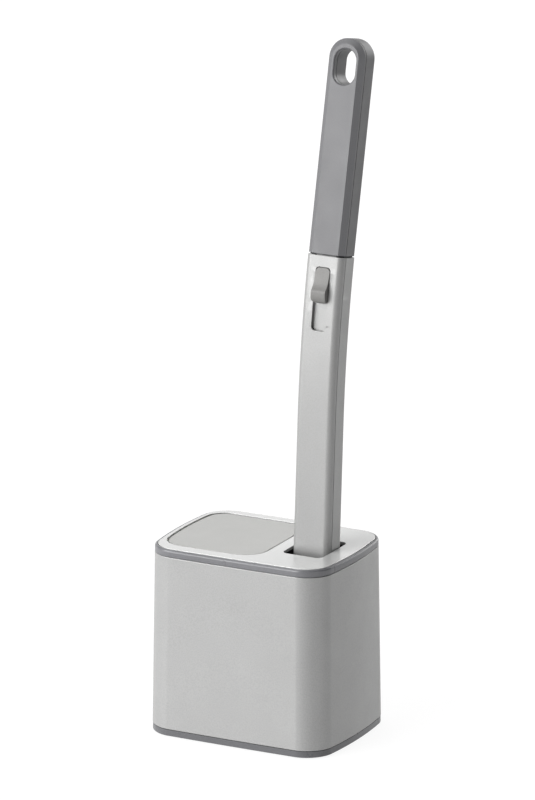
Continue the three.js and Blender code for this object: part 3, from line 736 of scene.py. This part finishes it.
def make_feet_and_screws():
    corners = ("front_left", "front_right", "rear_right", "rear_left")
    edge = FOOT_RADIUS - 0.2
    foot = [(0, 0.4), (3, 0.4), (3.4, 0), (FOOT_RADIUS - 0.6, 0), (edge, 0.2), (FOOT_RADIUS, 0.6)]
    foot += [(FOOT_RADIUS, FOOT_HEIGHT - 0.2), (edge, FOOT_HEIGHT), (0, FOOT_HEIGHT)]
    screw = [(0, 3.2), (2.5, 3.2), (2.9, 3.6), (2.9, 5.4), (1.5, 5.6), (1.5, 17), (0, 18.5)]
    for corner, (x, y) in zip(corners, foot_places()):
        place = CADDY @ Matrix.Translation((x, y, 0))
        settle(smooth(turn_profile("rubber_foot_" + corner, foot)), "foot_" + corner, place=place)
        shank = cut(turn_profile("pan_screw_" + corner, screw, 32), *cross_recess(3.2, 1.4, 3))
        settle(smooth(shank), "base_screw_" + corner, place=place)


def make_spare_heads():
    """Soft pads of nonwoven layers, each pinched at its waist and crowned on top."""
    for k, name in enumerate(("lower", "middle", "upper")):
        low, high = span("spare_pad_" + name)
        radii = (21.5,) * 4
        x, y, z = (low.x + 0.6, high.x - 0.6), (low.y + 0.6, high.y - 0.6), (low.z + 0.5, high.z - 1)
        pad = add_slab("nonwoven_pad_" + name, x, y, z, radii, 14, 5)
        step_end(pad, 1, rounding(4, 5) + [(5, 0.1), (5, 0.05)])
        # the rounding above rises past the block, so it is brought back into its room
        top = max(corner.co.z for corner in pad.data.vertices)
        for corner in pad.data.vertices:
            corner.co.z = z[0] + (corner.co.z - z[0]) * (z[1] - z[0]) / (top - z[0])
        pleat(pad, z, Vector(((low.x + high.x) / 2, (low.y + high.y) / 2, 0)), k)
        settle(smooth(pad, 60), "spare_pad_" + name)
        refined("spare_plug_" + name, "head_plug_" + name, 0.3)


def pleat(pad, z, centre, turn):
    """Cuts a pad's side into layers, each a little in or out, and lets its rim wander."""
    layers = 7
    with editing(pad):
        pick("EDGE", lambda edge: runs(edge, 2))
        bpy.ops.mesh.subdivide(number_cuts=layers * 4 - 1)
        tidy_faces()
    for corner in pad.data.vertices:
        out = Vector((corner.co.x - centre.x, corner.co.y - centre.y, 0))
        height = (corner.co.z - z[0]) / (z[1] - z[0])
        angle = math.atan2(out.y, out.x)
        groove = 0.5 - 0.5 * math.cos(2 * math.pi * layers * height)
        wave = 0.35 * math.sin(9 * angle + 2.1 * turn) + 0.25 * math.sin(17 * angle + turn)
        reach = min(out.length / 20, 1) ** 4
        corner.co += out.normalized() * reach * (1.1 * groove - 1.4 + 0.5 * wave)
        corner.co.z += 0.25 * wave * (1 - reach) - 0.2


# --- wand -------------------------------------------------------------------------------------


def half_shell(name, side, seam, rings):
    """Half of the shaft's hollow section, still straight: the front cap (-1) or the rear trough (1)."""
    x, y = WAND_WIDTH / 2, WAND_DEPTH / 2
    shell = add_wall(name, (-x, x), (-y, y), (SHAFT_BOTTOM, SHAFT_TOP), (WAND_RADIUS,) * 4, 10, 0)
    with editing(shell):
        bpy.ops.mesh.select_all(action="SELECT")
        bpy.ops.mesh.bisect(
            plane_co=(0, seam, 0), plane_no=(0, 1, 0), clear_outer=side < 0, clear_inner=side > 0
        )
        pick("EDGE", lambda edge: runs(edge, 2))
        bpy.ops.mesh.subdivide(number_cuts=rings)
        tidy_faces()
    return apply(shell, "SOLIDIFY", thickness=WAND_WALL, offset=-1, use_even_offset=True)


def add_rings(obj):
    """Cuts rings round the curved part of a shell, so that its faces stay small when it is bent."""
    with editing(obj):
        for step in range(1, RING_COUNT + 1):
            bpy.ops.mesh.select_all(action="SELECT")
            bpy.ops.mesh.bisect(plane_co=(0, 0, BEND_START + RING_PITCH * step), plane_no=(0, 0, 1))
    return obj


def along_y(x, z):
    """Turns a z axis to point to the rear, at a place on the wand."""
    return Matrix.Translation((x, 0, z)) @ Matrix.Rotation(-math.pi / 2, 4, "X")


def peg(radius, low, high, x, z, sides=32):
    """A round bar from front to rear."""
    return turn_bar("peg", radius, low, high, sides, along_y(x, z))


def make_shaft_front():
    shell = half_shell("shaft_cover", -1, SEAM_Y - SEAM_GAP / 2, 30)
    half, length = THUMB_SLOT["width"] / 2, THUMB_SLOT["length"] / 2
    radii = (THUMB_SLOT["radius"],) * 4
    slot = add_slab("thumb_room", (-half, half), (-length, length), (5, 14), radii, 8, 0)
    face_up = Matrix.Rotation(math.pi / 2, 4, "X")
    slot.data.transform(Matrix.Translation((0, 0, THUMB_SLOT["middle"])) @ face_up)
    bosses = [peg(2.7, 1 - WAND_DEPTH / 2, 2.6, x, s) for x, s in SHAFT_SCREWS]
    unite(shell, joined(*bosses))
    cut(shell, slot, joined(*[peg(1.5, -6, 3, x, s, 24) for x, s in SHAFT_SCREWS]))
    soften(shell, 0.2)
    return settle(smooth(bend(add_rings(shell))), "shaft_front", place=WAND)


def seat_screw(shell, x, z, rear, depth):
    """A pad inside a rear shell, with a counterbore and a clear hole for a screw."""
    unite(shell, peg(3.4, rear - depth, rear - 0.8, x, z))
    cut(shell, peg(2.6, rear - 1.9, rear + 2, x, z, 40), peg(1.5, rear - depth - 1, rear + 2, x, z, 24))


def make_shaft_rear():
    shell = half_shell("shaft_trough", 1, SEAM_Y + SEAM_GAP / 2, 30)
    rear = WAND_DEPTH / 2
    for x, s in (*SHAFT_SCREWS, (0, TENON_SCREW)):
        seat_screw(shell, x, s, rear, 3.2 if x == 0 else 6.4)
    for s, thickness in ((72, 2), (SPRING["bottom"] - 2.6, 2.3), (228, 2)):
        rib = add_block("rib", (-11.2, 11.2), (-3.2, rear - 1), (s, s + thickness))
        way = add_block("way", (-2.4, 2.4), (-20, ROD_Y - spine(s)[0]), (s - 1, s + 4))
        round_way = turn_bar("round_way", 2.4, s - 1, s + 4)
        round_way.data.transform(Matrix.Translation((0, ROD_Y - spine(s)[0], 0)))
        unite(shell, cut(rib, way, round_way))
    soften(shell, 0.2)
    return settle(smooth(bend(add_rings(shell))), "shaft_rear", place=WAND)


def grip_blank(name, inset, bottom, front, rear):
    """The grip's outline between two depths, drawn face up: straight sides under a round arch."""
    radius = GRIP_WIDTH / 2 - inset
    top = GRIP_TOP - inset
    arch = radius - ROUND_END_SLACK
    slab = add_slab(name, (-radius, radius), (bottom, top), (-rear, -front), (0, 0, arch, arch), 28, 0)
    with editing(slab):
        tidy_faces(ROUND_END_MERGE)
    return slab


def lay_down(obj):
    """Turns a shape drawn face up so that its top is the wand's front."""
    obj.data.transform(Matrix.Rotation(math.pi / 2, 4, "X"))
    return obj


def hole_slab(name, margin, low, high):
    radius = HOLE_WIDTH / 2 + margin
    top = GRIP_TOP - HOLE_BELOW + margin
    bottom = GRIP_TOP - HOLE_BELOW - HOLE_HEIGHT - margin
    radii = (radius - ROUND_END_SLACK,) * 4
    slab = add_slab(name, (-radius, radius), (bottom, top), (low, high), radii, 16, 0)
    with editing(slab):
        tidy_faces(ROUND_END_MERGE)
    return slab


def make_grip_front():
    face, seam = GRIP_DEPTH / 2, -(SEAM_Y - SEAM_GAP / 2)
    inset, drop = GRIP_CHAMFER
    cover = grip_blank("grip_cover_plate", 0, GRIP_BOTTOM - 8, -(face - drop), -seam)
    step_end(cover, 1, [(inset, drop)])
    cavity = grip_blank("cavity", GRIP_WALL + 0.9, GRIP_BOTTOM - 12, -(face - GRIP_WALL), -(seam - 1))
    cut(cavity, hole_slab("collar", 2.6, -20, 20))
    cut(cover, cavity)
    at_screw = Matrix.Translation((0, GRIP_SCREW, 0))
    unite(cover, turn_bar("boss", 2.7, -2, face - 1, 32, at_screw))
    cut(cover, turn_bar("bore", 1.5, -5, face - 3, 24, at_screw))
    cut(cover, hole_slab("hole", 0, -20, 20))
    trim_end(cover)
    round_rim(cover, face, 1.0)
    soften(cover, 0.25, 20)
    return settle(smooth(lay_down(cover)), "grip_front", place=GRIP)


def trim_end(obj):
    """Cuts a grip shell off square at its lower end."""
    low = add_block("waste", (-40, 40), (GRIP_BOTTOM - 60, GRIP_BOTTOM), (-40, 40))
    return cut(obj, low)


def round_rim(obj, height, radius):
    """Rounds the hanging hole's rim at one face."""
    middle_y = GRIP_TOP - HOLE_BELOW - HOLE_HEIGHT / 2
    with editing(obj):
        tidy_faces()
        pick(
            "EDGE",
            lambda edge: all(
                abs(corner.co.z - height) < 1e-2
                and abs(corner.co.x) < HOLE_WIDTH / 2 + 0.05
                and abs(corner.co.y - middle_y) < HOLE_HEIGHT / 2 + 0.05
                for corner in edge.verts
            )
            and len(edge.link_faces) == 2
            and abs(edge.link_faces[0].normal.z - edge.link_faces[1].normal.z) > 0.5,
        )
        bpy.ops.mesh.bevel(offset=radius, segments=5, affect="EDGES")


def make_grip_rear():
    rear, seam = GRIP_DEPTH / 2, SEAM_Y + SEAM_GAP / 2
    shell = grip_blank("grip_back_shell", 0, GRIP_BOTTOM - 8, seam, rear - 3)
    step_end(shell, -1, rounding(3, 6))
    cavity = grip_blank("cavity", GRIP_WALL, GRIP_BOTTOM - 12, seam - 1, rear - GRIP_WALL)
    cut(cavity, hole_slab("collar", 1.8, -20, 20))
    cut(shell, cavity)
    for y, depth in ((GRIP_SCREW, 6.4), (GRIP_TENON_SCREW, 3.2)):
        place = Matrix.Translation((0, y, 0))
        seat, end = 1.9 - rear, depth + 1 - rear
        room = [(0, -rear - 2), (2.6, -rear - 2), (2.6, seat), (1.5, seat), (1.5, end), (0, end)]
        unite(shell, turn_bar("pad", 3.4, 0.8 - rear, depth - rear, 32, place))
        cut(shell, turn_profile("room", room, 40, place))
    cut(shell, hole_slab("hole", 0, -20, 20))
    trim_end(shell)
    round_rim(shell, -rear, 1.0)
    soften(shell, 0.2, 40)
    return settle(smooth(lay_down(shell)), "grip_rear", place=GRIP)


def make_wand_screws():
    (left, lower), (right, upper) = SHAFT_SCREWS
    seats = (
        ("shaft_screw_lower", frame_at(lower), left, 0, WAND_DEPTH / 2, 12.5),
        ("shaft_screw_upper", frame_at(upper), right, 0, WAND_DEPTH / 2, 12.5),
        ("tenon_screw_lower", frame_at(TENON_SCREW), 0, 0, WAND_DEPTH / 2, 10),
        ("tenon_screw_upper", GRIP, 0, GRIP_TENON_SCREW, GRIP_DEPTH / 2, 9.5),
        ("grip_screw", GRIP, 0, GRIP_SCREW, GRIP_DEPTH / 2, 11.5),
    )
    for node, place, x, z, rear, length in seats:
        profile = [(0, 0), (1.9, 0), (2.3, -0.4), (2.3, -1.2), (1.2, -1.4), (1.2, 1 - length), (0, -length)]
        screw = cut(turn_profile("steel_" + node, profile, 32), *cross_recess(0, 0.8, 2.6))
        screw.data.transform(along_y(x, z))
        settle(smooth(screw), node, place=place @ Matrix.Translation((0, rear - 0.4, 0)))


# --- thumb slider, rod and jaws ----------------------------------------------------------------


def curve(start, control, end, steps):
    """Points of a quadratic curve, without its start."""
    a, b, c = Vector(start), Vector(control), Vector(end)
    return [tuple(a.lerp(b, t).lerp(b.lerp(c, t), t)) for t in (k / steps for k in range(1, steps + 1))]


def make_thumb_button():
    top = THUMB_SLOT["length"] / 2 - GAP
    bottom = top - BUTTON_LENGTH
    face, crest, back = WAND_DEPTH / 2, WAND_DEPTH / 2 + BUTTON_CREST, -STRIP_FACE + GAP
    side = [(back, bottom), (back, top), (face, top)]
    side += curve(side[-1], (face + 0.4, bottom + 12.5), (crest - 0.7, bottom + 8.4), 16)
    side += curve(side[-1], (crest, bottom + 7.6), (crest, bottom + 6.4), 6)
    side += curve(side[-1], (crest - 0.2, bottom + 0.4), (face, bottom), 14)
    mesh = bpy.data.meshes.new("button_side")
    half = BUTTON_WIDTH / 2
    mesh.from_pydata([(-half, -out, z) for out, z in side], [], [tuple(range(len(side)))])
    button = bpy.data.objects.new("thumb_slide_button", mesh)
    bpy.context.scene.collection.objects.link(button)
    with editing(button):
        bpy.ops.mesh.select_all(action="SELECT")
        bpy.ops.mesh.extrude_region_move(TRANSFORM_OT_translate={"value": (BUTTON_WIDTH, 0, 0)})
        tidy_faces()
    radii = (THUMB_SLOT["radius"] - 0.1,) * 4
    front = add_slab("outline", (-half, half), (bottom, top), (0, 20), radii, 8, 0)
    combine(button, "INTERSECT", lay_down(front))
    soften(button, 0.7, 35, 4)
    stem = add_block("stem", (-2.5, 2.5), (-back - 1 + 0.2, 1), (4, 10))
    unite(button, stem)
    return settle(smooth(button, 40), "thumb_button", place=SLIDER)


def make_slider_strip():
    centre, reach = THUMB_SLOT["middle"], THUMB_SLOT["length"] / 2 + 1.6
    low, high = centre - reach, centre + reach + SLIDE_TRAVEL
    strip = add_block("slot_strip", (-6.5, 6.5), (STRIP_FACE, STRIP_FACE + STRIP_THICKNESS), (low, high))
    with editing(strip):
        pick("EDGE", lambda edge: runs(edge, 2))
        bpy.ops.mesh.subdivide(number_cuts=12)
    hole = add_block("stem_room", (-2.8, 2.8), (-12, 0), (centre + 3.7, centre + 10.3))
    cut(strip, hole)
    soften(strip, 0.15)
    return settle(smooth(bend(strip)), "slider_strip", place=WAND)


def make_return_spring():
    bottom, top, coil, wire, turns = (SPRING[key] for key in ("bottom", "top", "coil", "wire", "turns"))
    bpy.ops.object.select_all(action="DESELECT")
    bpy.ops.mesh.primitive_circle_add(vertices=10, radius=wire, fill_type="NGON", location=(0, 0, 0))
    spring = bpy.context.active_object
    spring.name = "coil_spring"
    spring.data.transform(Matrix.Translation((coil, 0, 0)) @ Matrix.Rotation(math.pi / 2, 4, "X"))
    length = top - bottom - 2 * wire
    with editing(spring):
        bpy.ops.mesh.delete(type="ONLY_FACE")
    apply(spring, "SCREW", axis="Z", angle=2 * math.pi * turns, screw_offset=length, steps=turns * 32,
          render_steps=turns * 32, use_merge_vertices=False)
    with editing(spring):
        pick("EDGE", lambda edge: edge.is_boundary)
        bpy.ops.mesh.edge_face_add()
        tidy_faces(1e-4)
    spring.data.transform(Matrix.Translation((0, ROD_Y, bottom + wire)))
    settle(smooth(spring, 60), "return_spring", place=WAND)
    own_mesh(spring)


def make_inner_pieces():
    """Pieces that are mostly out of sight keep their CAD shape, with softened edges."""
    for node, name, width in (
        ("refill_bin", "spares_bin", 0.3),
        ("wand_well", "wand_cup", 0.3),
        ("grip_tenon", "joint_tenon", 0.3),
        ("push_rod", "rod", 0.2),
        ("ejector", "wedge", 0.2),
        ("end_collar", "jaw_collar", 0.3),
        ("jaw_left", "left_hook", 0.3),
        ("jaw_right", "right_hook", 0.3),
        ("spring_collar", "stop_ring", 0.15),
        ("jaw_pin_left", "left_pin", 0.15),
        ("jaw_pin_right", "right_pin", 0.15),
        ("lid_pin_left", "left_lid_pin", 0.15),
        ("lid_pin_right", "right_lid_pin", 0.15),
    ):
        refined(node, name, width)


# --- studio -------------------------------------------------------------------------------------


def make_camera():
    camera = bpy.data.objects.new("camera", bpy.data.cameras.new("camera"))
    bpy.context.scene.collection.objects.link(camera)
    camera.location = (2.0638, -3.98163, 1.5222)
    camera.rotation_euler = (math.radians(90 - 16.336), 0, math.radians(27.42))
    camera.data.lens = 345.5
    camera.data.sensor_width = 36
    camera.data.clip_end = 100
    bpy.context.scene.camera = camera


def add_sun(name, source, strength, softness):
    """Even light from one direction. Softness is the width of its source in degrees."""
    light = bpy.data.lights.new(name, "SUN")
    light.energy = strength
    light.angle = math.radians(softness)
    obj = bpy.data.objects.new(name, light)
    bpy.context.scene.collection.objects.link(obj)
    obj.location = source
    obj.rotation_euler = Vector(source).to_track_quat("Z", "Y").to_euler()


def make_backdrop():
    """A dim room with a pale horizon and a broad bright card behind the object."""
    world = bpy.data.worlds.new("studio")
    world.use_nodes = True
    bpy.context.scene.world = world
    nodes, links = world.node_tree.nodes, world.node_tree.links
    way = nodes.new("ShaderNodeTexCoord").outputs["Generated"]

    def rise(vector, start, end, top):
        """From nothing to a top value, as the view turns towards a direction."""
        dot = nodes.new("ShaderNodeVectorMath")
        dot.operation = "DOT_PRODUCT"
        dot.inputs[1].default_value = vector
        links.new(way, dot.inputs[0])
        span_of = nodes.new("ShaderNodeMapRange")
        span_of.interpolation_type = "SMOOTHSTEP"
        for key, value in (("From Min", start), ("From Max", end), ("To Min", 0), ("To Max", top)):
            span_of.inputs[key].default_value = value
        links.new(dot.outputs["Value"], span_of.inputs["Value"])
        return span_of.outputs["Result"]

    card = rise((-0.44, 0.84, 0.32), 0.72, 0.93, 1.05)
    horizon = rise((0, 0, -1), -0.14, -0.04, 0.9)
    room = nodes.new("ShaderNodeMath")
    room.operation = "MAXIMUM"
    links.new(card, room.inputs[0])
    links.new(horizon, room.inputs[1])
    dim = nodes.new("ShaderNodeMath")
    dim.inputs[1].default_value = 0.07
    links.new(room.outputs[0], dim.inputs[0])
    links.new(dim.outputs[0], nodes["Background"].inputs["Strength"])
    nodes["Background"].inputs["Color"].default_value = (1, 1, 1, 1)


def make_studio():
    make_backdrop()
    add_sun("key_light", (-0.62, -0.8, 0.36), 5.5, 60)
    add_sun("top_light", (-0.25, 0.1, 1.0), 1.3, 60)
    add_sun("side_light", (0.3, 1.0, 0.25), 1.2, 40)
    bpy.ops.object.select_all(action="DESELECT")
    bpy.ops.mesh.primitive_plane_add(size=30, location=(0, 0, 0))
    floor = bpy.context.active_object
    floor.name = "studio_floor"
    paper = Finish("pale_paper", Roughness=0.9, Specular_IOR_Level=0.1)
    paper.colour(paper.ramp(paper.noise(0.4, 2), (0.3, (0.12, 0.12, 0.12)), (0.7, (0.13, 0.13, 0.13))))
    paper.shader.inputs["Emission Color"].default_value = (1, 1, 1, 1)
    paper.shader.inputs["Emission Strength"].default_value = 0.9
    floor.data.materials.append(paper.material)


make_camera()
make_studio()
make_sleeve()
make_top_band()
make_deck()
make_lid()
make_base_pan()
make_feet_and_screws()
make_spare_heads()
make_shaft_front()
make_shaft_rear()
make_grip_front()
make_grip_rear()
make_wand_screws()
make_thumb_button()
make_slider_strip()
make_return_spring()
make_inner_pieces()

bpy.context.scene.view_settings.view_transform = "Standard"
